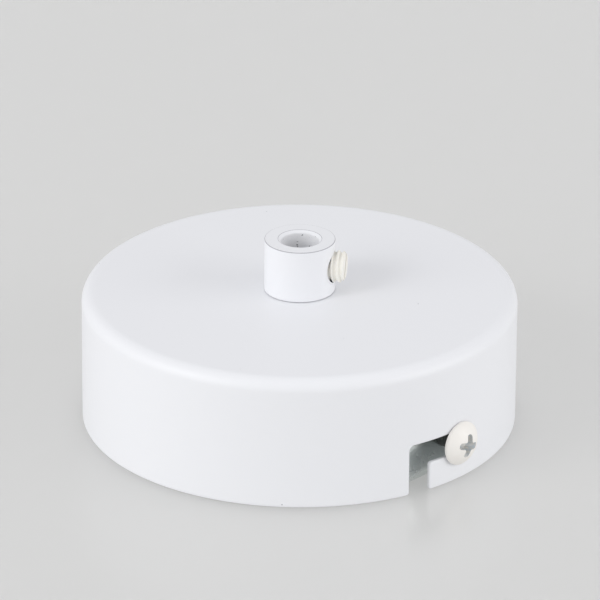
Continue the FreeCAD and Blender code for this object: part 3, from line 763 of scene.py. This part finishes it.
clamp_rows = [(0, 0), (CLAMP_RADIUS - CLAMP_LEAD - CLAMP_DEPTH, 0)]
clamp_rows += thread(0, CLAMP_LENGTH, CLAMP_RADIUS, CLAMP_PITCH, CLAMP_DEPTH, CLAMP_LEAD, CLAMP_LEAD)
clamp_rows += [(CLAMP_RADIUS - CLAMP_LEAD - CLAMP_DEPTH, CLAMP_LENGTH), (0, CLAMP_LENGTH)]
clamp = add_piece("clamp_screw_threaded", *turned(clamp_rows, CLAMP_COLUMNS, CLAMP_PITCH, CLAMP_START), nylon)
driver = block(CLAMP_RADIUS + CUT_PAST, DRIVER_WIDTH / 2, DRIVER_DEPTH, CLAMP_LENGTH)
carve(clamp, add_piece("driver", *driver, nylon))
clamp_tip = GRIP_RADIUS + CLAMP_STANDOFF - CLAMP_LENGTH
clamp_place = (clamp_tip * math.cos(CLAMP_BEARING), clamp_tip * math.sin(CLAMP_BEARING), CLAMP_HEIGHT)
clamp.data.transform(aimed(CLAMP_BEARING, DRIVER_TURN, clamp_place))
stand_for(clamp, "clamp_screw")

# %% [markdown]
# ## The side screws
# Two machine screws hold the cup: their heads are lacquered to match it, and their shanks are plated. The
# head is turned with its rim and dome, the shank with its thread, and a tapering cross with rounded wings is
# cut out of the dome. The cutter brings the scraped finish with it, so the recess needs no mask.

# %% Turn the side screws and cut their recesses
HEAD_RADIUS = 4.1
HEAD_HEIGHT = 2.4
HEAD_RIM = 0.5
RIM_ROUND = 0.1
SCREW_LENGTH = 10.0
SCREW_PITCH = 0.6
SCREW_DEPTH = 0.37
SCREW_LEAD = 0.5
HEAD_GAP = 0.15
SCREW_COLUMNS = 96
DOME_SKIP = 1.0
RECESS_DEPTH = 1.7
RECESS_PAST = 0.1
RECESS_LEVELS = 6
# The cross at the top of its cutter and at its floor: reach of a wing, half its width, inner corner.
CROSS_TOP = np.array((2.75, 0.68, 0.35))
CROSS_FLOOR = np.array((1.0, 0.42, 0.15))
WING_ROUND = 0.9
ONE_STEP = 100.0

rise = HEAD_HEIGHT - HEAD_RIM
dome_radius = (HEAD_RADIUS ** 2 + rise ** 2) / (2 * rise)
screw_rows = [(0, -SCREW_LENGTH), (SCREW_RADIUS - SCREW_LEAD - SCREW_DEPTH, -SCREW_LENGTH)]
screw_rows += thread(-SCREW_LENGTH, 0, SCREW_RADIUS, SCREW_PITCH, SCREW_DEPTH, lead_low=SCREW_LEAD)
screw_rows += [
    (SCREW_RADIUS, 0),
    (HEAD_RADIUS - RIM_ROUND, 0),
    (HEAD_RADIUS - QUARTER * RIM_ROUND, QUARTER * RIM_ROUND),
    (HEAD_RADIUS, RIM_ROUND),
    (HEAD_RADIUS, HEAD_RIM - 0.5 * RIM_ROUND),
]
dome_start = math.degrees(math.acos(HEAD_RADIUS / dome_radius))
screw_rows += arc((0, HEAD_HEIGHT - dome_radius), dome_radius, dome_start + DOME_SKIP, 90, steps=22)
screw_rows[-1] = (0, HEAD_HEIGHT)


def cross_section(wing, width, fillet):
    """A cross of four wings with rounded ends and softened inner corners, walked anticlockwise."""
    end = WING_ROUND * width
    quarter = [(wing, width, end), (width, width, fillet), (width, wing, end)]
    corners = [(wing, 0, 0)]
    for step in range(4):
        turn = Matrix.Rotation(step * math.pi / 2, 2)
        corners += [(*(turn @ Vector(corner[:2])), corner[2]) for corner in quarter]
    corners.append((wing, 0, 0))
    return rounded(corners, ONE_STEP)[0][:-1]


def cross_cutter():
    """The recess as a stack of crosses that shrink towards its floor."""
    loops = []
    for share in np.linspace(0, 1, RECESS_LEVELS):
        cross = cross_section(*(CROSS_TOP + (CROSS_FLOOR - CROSS_TOP) * share))
        level = HEAD_HEIGHT + RECESS_PAST - (RECESS_DEPTH + RECESS_PAST) * share
        loops.append(np.column_stack([cross, np.full(len(cross), level)]))
    count = len(loops[0])
    faces = grid_faces(len(loops), count, closed=True)
    faces += [list(range(count)), list(range((len(loops) - 1) * count, len(loops) * count))]
    return add_piece("recess", np.vstack(loops), faces, scraped)


def make_side_screw(name, node, bearing, turn):
    """A lacquered screw on the bearing of a CAD screw, seated just off the cup's wall."""
    screw = add_piece(name, *turned(screw_rows, SCREW_COLUMNS, SCREW_PITCH), lacquer)
    # The shank takes the darkened zinc: painted shade for the shadow in the slot.
    coat_faces(screw, shank_shade, lambda p: p.z < -NEAR / 2)
    carve(screw, cross_cutter())
    outward = (CUP_RADIUS + HEAD_GAP) * math.cos(bearing)
    screw.data.transform(aimed(bearing, turn, (outward, 0, SCREW_HEIGHT)))
    stand_for(screw, node)


make_side_screw("front_screw", "side_screw_front", 0, math.radians(-15))
make_side_screw("rear_screw", "side_screw_rear", math.pi, math.radians(28))

# %% [markdown]
# ## The earth screw
# The earth terminal is a slotted cheese head in brass, which keeps its contact bright. It has the same
# thread as the side screws, so the thread function makes its shank from the same sizes, and a block cuts
# its slot as it did in the nylon screw.

# %% Turn the earth screw
EARTH_LENGTH = 6.0
EARTH_HEAD_RADIUS = 3.0
EARTH_HEAD_HEIGHT = 2.4
EARTH_EDGE = 0.25
EARTH_SLOT_WIDTH = 1.0
EARTH_SLOT_DEPTH = 1.0
EARTH_SLOT_TURN = math.radians(40)

earth_rows = [(0, -EARTH_LENGTH), (SCREW_RADIUS - SCREW_LEAD - SCREW_DEPTH, -EARTH_LENGTH)]
earth_rows += thread(-EARTH_LENGTH, 0, SCREW_RADIUS, SCREW_PITCH, SCREW_DEPTH, lead_low=SCREW_LEAD)
earth_rows += [
    (SCREW_RADIUS, 0),
    (EARTH_HEAD_RADIUS - RIM_ROUND, 0),
    (EARTH_HEAD_RADIUS, RIM_ROUND),
    *arc((EARTH_HEAD_RADIUS - EARTH_EDGE, EARTH_HEAD_HEIGHT - EARTH_EDGE), EARTH_EDGE, 0, 90, steps=5),
    (0, EARTH_HEAD_HEIGHT),
]
earth = add_piece("terminal_screw", *turned(earth_rows, SCREW_COLUMNS, SCREW_PITCH), brass)
earth_slot = block(
    EARTH_HEAD_RADIUS + CUT_PAST, EARTH_SLOT_WIDTH / 2, EARTH_SLOT_DEPTH, EARTH_HEAD_HEIGHT)
carve(earth, add_piece("earth_slot", *earth_slot, brass))
earth_seat = box_mm("earth_screw")[1][1] - EARTH_HEAD_HEIGHT
earth.data.transform(aimed(math.pi / 2, EARTH_SLOT_TURN, (0, earth_seat, EARTH_AXIS)))
stand_for(earth, "earth_screw")

# %% [markdown]
# ## The bracket
# A strip of plated steel is punched flat and then folded: two legs go up inside the cup, and an ear carries
# the earth terminal. The flat pattern is drawn as it leaves the punch, with slots for ceiling screws and a
# hole for the supply cable. The threads in the legs and the ear get drawn collars, so their edge bands run
# down a short tube before they return to the back of the sheet. Folding is then a matter of where each
# point of the pattern goes, and the sheet keeps its thickness through the bends.

# %% Punch the flat pattern
SHEET = 1.2
SHEET_ROUND = 0.14
BEND_INSIDE = 0.8
BEND_STEPS = 10
STRIP_HALF = 11.0
EAR_HALF = 4.5
LEG_HEIGHT = 12.0
EAR_HEIGHT = 11.5
LEG_CORNER = 3.0
EAR_CORNER = 2.0
EAR_ROOT = 0.6
COLLAR_WALL = 0.8
COLLAR_DEPTH = 1.3
COLLAR_FILLET = 0.4
TAPPED_RADIUS = SCREW_RADIUS + 0.05
SUPPLY_HOLE = 10.0
CEILING_SLOT_AT = 21.0
CEILING_SLOT_LENGTH = 14.0
CEILING_SLOT_WIDTH = 4.5
PATTERN_STEP = 0.4
# A hair under a half circle, so that a straight stretch stays between two corners.
ROUND_END = 0.999

bracket_low, bracket_high = box_mm("mounting_bracket")
lift = bracket_low[2]
bend_outside = BEND_INSIDE + SHEET
leg_bend = bracket_high[0] - bend_outside
bend_middle = BEND_INSIDE + SHEET / 2
bend_length = bend_middle * math.pi / 2


def beyond_bend(height):
    """How far past the start of a bend the flat pattern reaches to get to a height."""
    return bend_length + height - bend_outside


leg_end = leg_bend + beyond_bend(LEG_HEIGHT)
ear_end = STRIP_HALF + beyond_bend(EAR_HEIGHT)
outline = [
    (0, -STRIP_HALF, 0),
    (leg_end, -STRIP_HALF, LEG_CORNER),
    (leg_end, STRIP_HALF, LEG_CORNER),
    (EAR_HALF, STRIP_HALF, EAR_ROOT),
    (EAR_HALF, ear_end, EAR_CORNER),
    (-EAR_HALF, ear_end, EAR_CORNER),
    (-EAR_HALF, STRIP_HALF, EAR_ROOT),
    (-leg_end, STRIP_HALF, LEG_CORNER),
    (-leg_end, -STRIP_HALF, LEG_CORNER),
    (0, -STRIP_HALF, 0),
]


def slot_hole(u, v, length, width):
    """A hole with round ends, walked clockwise so that the sheet is on the left."""
    reach, radius = length / 2, width / 2
    end = ROUND_END * radius
    return [(u, v + radius, 0), (u + reach, v + radius, end), (u + reach, v - radius, end),
            (u - reach, v - radius, end), (u - reach, v + radius, end), (u, v + radius, 0)]


plain = rolled_edge(SHEET, SHEET_ROUND)
collar = rolled_edge(SHEET + COLLAR_DEPTH, SHEET_ROUND)[:6] + [
    (COLLAR_WALL - SHEET_ROUND, SHEET + COLLAR_DEPTH),
    (COLLAR_WALL, SHEET + COLLAR_DEPTH - SHEET_ROUND),
    (COLLAR_WALL, SHEET + COLLAR_FILLET),
    (COLLAR_WALL + QUARTER * COLLAR_FILLET, SHEET + QUARTER * COLLAR_FILLET),
    (COLLAR_WALL + COLLAR_FILLET, SHEET),
    (COLLAR_WALL + 2 * COLLAR_FILLET, SHEET),
]
leg_hole = leg_bend + beyond_bend(SCREW_HEIGHT - lift)
ear_hole = STRIP_HALF + beyond_bend(EARTH_AXIS - lift)
cuts = [
    (outline, plain),
    (slot_hole(0, 0, SUPPLY_HOLE, SUPPLY_HOLE), plain),
    (slot_hole(CEILING_SLOT_AT, 0, CEILING_SLOT_LENGTH, CEILING_SLOT_WIDTH), plain),
    (slot_hole(-CEILING_SLOT_AT, 0, CEILING_SLOT_LENGTH, CEILING_SLOT_WIDTH), plain),
    (slot_hole(leg_hole, 0, 2 * TAPPED_RADIUS, 2 * TAPPED_RADIUS), collar),
    (slot_hole(-leg_hole, 0, 2 * TAPPED_RADIUS, 2 * TAPPED_RADIUS), collar),
    (slot_hole(0, ear_hole, 2 * TAPPED_RADIUS, 2 * TAPPED_RADIUS), collar),
]
print(f"flat pattern {2 * leg_end:.1f} mm long, ear to {ear_end:.1f} mm, {len(cuts) - 1} holes")

# %% Fold the bracket
BASE_STEP = 2.0
LEG_STEP = 1.5


def fold(along, depth):
    """Where a distance past a bend's start ends up: further out, and up."""
    angle = np.clip(along / bend_middle, 0, math.pi / 2)
    radius = bend_outside - depth
    straight = np.maximum(along - bend_length, 0)
    return radius * np.sin(angle), bend_outside - radius * np.cos(angle) + straight


def folded(points):
    """Fold the flat pattern (u, v, depth) into the bracket."""
    u, v, depth = points.T
    leg_out, leg_up = fold(np.abs(u) - leg_bend, depth)
    ear_out, ear_up = fold(v - STRIP_HALF, depth)
    on_leg = np.abs(u) > leg_bend
    on_ear = v > STRIP_HALF
    x = np.where(on_leg, np.sign(u) * (leg_bend + leg_out), u)
    y = np.where(on_ear, STRIP_HALF + ear_out, v)
    z = np.where(on_leg, leg_up, np.where(on_ear, ear_up, depth))
    return np.column_stack([x, y, z + lift])


bends = leg_bend + bend_length * np.arange(BEND_STEPS + 1) / BEND_STEPS
us = np.concatenate([
    np.arange(0, leg_bend, BASE_STEP), bends, np.arange(bends[-1] + LEG_STEP, leg_end, LEG_STEP)])
us = np.concatenate([-us[:0:-1], us])
ear_bends = STRIP_HALF + bend_length * np.arange(BEND_STEPS + 1) / BEND_STEPS
vs = np.concatenate([
    np.arange(BASE_STEP / 2 - STRIP_HALF, STRIP_HALF, BASE_STEP), ear_bends,
    np.arange(ear_bends[-1] + LEG_STEP, ear_end, LEG_STEP)])
bands = []
for cut, section in cuts:
    path, lefts = rounded(cut, PATTERN_STEP)
    bands.append(edge_rows(path[:-1], lefts[:-1], section))
parts = [(folded(np.vstack(rows)), grid_faces(len(rows), len(rows[0]), closed=True))
         for rows in bands]
for side, depth in ((0, 0.0), (-1, SHEET)):
    flat, triangles = fill([rows[side][:, :2] for rows in bands], us, vs, PATTERN_STEP / 2)
    parts.append((folded(np.column_stack([flat, np.full(len(flat), depth)])), triangles))
bracket = add_piece("bracket_strip", *joined(parts), zinc)
stand_for(bracket, "mounting_bracket")

# %% [markdown]
# ## Nut and washers
# The nut and the two toothed washers are plain stamped and turned pieces, and they sit deep inside the cup.
# New meshes would show nothing more, so their solids are shown as they are and only take the zinc finish.

# %% Plate the nut and washers
for node in ("grip_nut", "grip_lock_washer", "earth_washer"):
    nodes[node].data.materials.clear()
    nodes[node].data.materials.append(zinc)
    print("plated", node)

# %% [markdown]
# ## Floor
# The rose stands on a pale sheet of opal acrylic that is lit from below, as on a product photographer's
# table. The sheet fills the view, so its own grey is the background. A paper floor would show hard shadows.
# Here light creeps sideways through the sheet and fills them, and only a soft dark line stays under the rim.

# %% Floor
FLOOR_SIZE = 6.0
FLOOR_DROP = 0.03
LIGHT_CREEP = 34.0
HAZE_SIZE = 90.0

# To the eye: an even pale grey with a faint mirror image of the rose, darker only close to the rim.
acrylic, tree, shader, places = new_finish(
    "lit opal acrylic sheet", Base_Color=linear("#AAAAA9"), IOR=1.45,
    Subsurface_Weight=1.0, Subsurface_Radius=(1.0, 1.0, 1.0), Subsurface_Scale=LIGHT_CREEP * MM,
    Emission_Color=linear("#FFFFFE"), Emission_Strength=0.291)
haze = add_node(tree, "ShaderNodeTexNoise", {"Scale": per_mm(HAZE_SIZE), "Detail": 1.0}, {"Vector": places})
gloss = add_node(
    tree, "ShaderNodeMapRange", {"To Min": 0.2, "To Max": 0.26}, {"Value": haze.outputs["Fac"]})
tree.links.new(gloss.outputs["Result"], shader.inputs["Roughness"])
half = FLOOR_SIZE / 2 / MM
floor_corners = [(x, y, -FLOOR_DROP) for x, y in ((-half, -half), (half, -half), (half, half), (-half, half))]
floor = add_piece("floor", floor_corners, [[0, 1, 2, 3]], acrylic)
print("floor", FLOOR_SIZE, "m")

# %% [markdown]
# ## Light
# White on white needs soft light with a clear direction. A tent of diffusers lights everything a little. A
# small panel high on the left throws the grip's short shadow. Two low cards stand on the table: the left one
# brightens the wall on that side, and the right one lifts the other. Light from higher up would also fall on
# the rounded edge and make it too bright. Rays that make reflections see a pale grey surround in place of
# the tent, so that the satin coat stays even.

# %% Light
SURROUND = linear("#D7D7D8")
TENT_LIGHT = 0.706

world = bpy.data.worlds.new("diffuser tent")
bpy.context.scene.world = world
world.use_nodes = True
tree = world.node_tree
tree.nodes.clear()
tent = add_node(tree, "ShaderNodeBackground", {"Color": linear("#FDFDFF"), "Strength": TENT_LIGHT})
surround = add_node(tree, "ShaderNodeBackground", {"Color": SURROUND, "Strength": 1.0})
ray = add_node(tree, "ShaderNodeLightPath")
camera_or_gloss = add_node(
    tree, "ShaderNodeMath", {"operation": "MAXIMUM"},
    {0: ray.outputs["Is Camera Ray"], 1: ray.outputs["Is Glossy Ray"]})
seen = add_node(
    tree, "ShaderNodeMath", {"operation": "MAXIMUM"},
    {0: camera_or_gloss.outputs["Value"], 1: ray.outputs["Is Transmission Ray"]})
mix = add_node(
    tree, "ShaderNodeMixShader", {},
    {0: seen.outputs["Value"], 1: tent.outputs["Background"], 2: surround.outputs["Background"]})
add_node(tree, "ShaderNodeOutputWorld", {}, {"Surface": mix.outputs["Shader"]})


def add_panel(name, bearing, height, distance, width, tall, power):
    """A soft flat lamp that faces the rose from a compass bearing, in metres."""
    lamp = bpy.data.lights.new(name, "AREA")
    lamp.shape = "RECTANGLE"
    lamp.size = width
    lamp.size_y = tall
    lamp.energy = power
    panel = bpy.data.objects.new(name, lamp)
    turn = math.radians(bearing)
    panel.location = (distance * math.cos(turn), distance * math.sin(turn), height)
    panel.rotation_euler = (-Vector(panel.location)).to_track_quat("-Z", "Y").to_euler()
    panel.visible_camera = False
    bpy.context.scene.collection.objects.link(panel)


add_panel("left panel", bearing=-107, height=0.87, distance=1.2, width=0.45, tall=0.45, power=2.6)
add_panel("left card", bearing=-106, height=0.43, distance=1.4, width=1.2, tall=0.85, power=6.0)
add_panel("right card", bearing=27, height=0.43, distance=1.4, width=1.2, tall=0.85, power=6.6)

# %% [markdown]
# ## Camera
# The photograph was taken from a little over a metre away with a long lens, which keeps the rims' ellipses
# nearly alike. Bearing, tilt and distance come from a fit of those two ellipses and of the grip's height.
# Reach and height are in metres, and the lens and its sensor in millimetres.

# %% Camera
CAMERA_BEARING = math.radians(43.5)
CAMERA_TILT = math.radians(24.648)
CAMERA_ROLL = math.radians(0.361)
CAMERA_REACH = 1.03051
CAMERA_HEIGHT = 0.49548
LENS_LENGTH = 370.6
LENS_SHIFT = 0.00075
SENSOR_WIDTH = 36.0

lens = bpy.data.cameras.new("camera")
lens.lens = LENS_LENGTH
lens.shift_x = LENS_SHIFT
lens.sensor_width = SENSOR_WIDTH
camera = bpy.data.objects.new("camera", lens)
bpy.context.scene.collection.objects.link(camera)
stand = Vector((
    CAMERA_REACH * math.sin(CAMERA_BEARING), -CAMERA_REACH * math.cos(CAMERA_BEARING), CAMERA_HEIGHT))
look = Matrix.Rotation(CAMERA_BEARING, 4, "Z") @ Matrix.Rotation(math.pi / 2 - CAMERA_TILT, 4, "X")
camera.matrix_world = Matrix.Translation(stand) @ look @ Matrix.Rotation(CAMERA_ROLL, 4, "Z")
bpy.context.scene.camera = camera
bpy.context.scene.view_settings.view_transform = "Standard"
print("camera at", [round(v, 3) for v in camera.location])
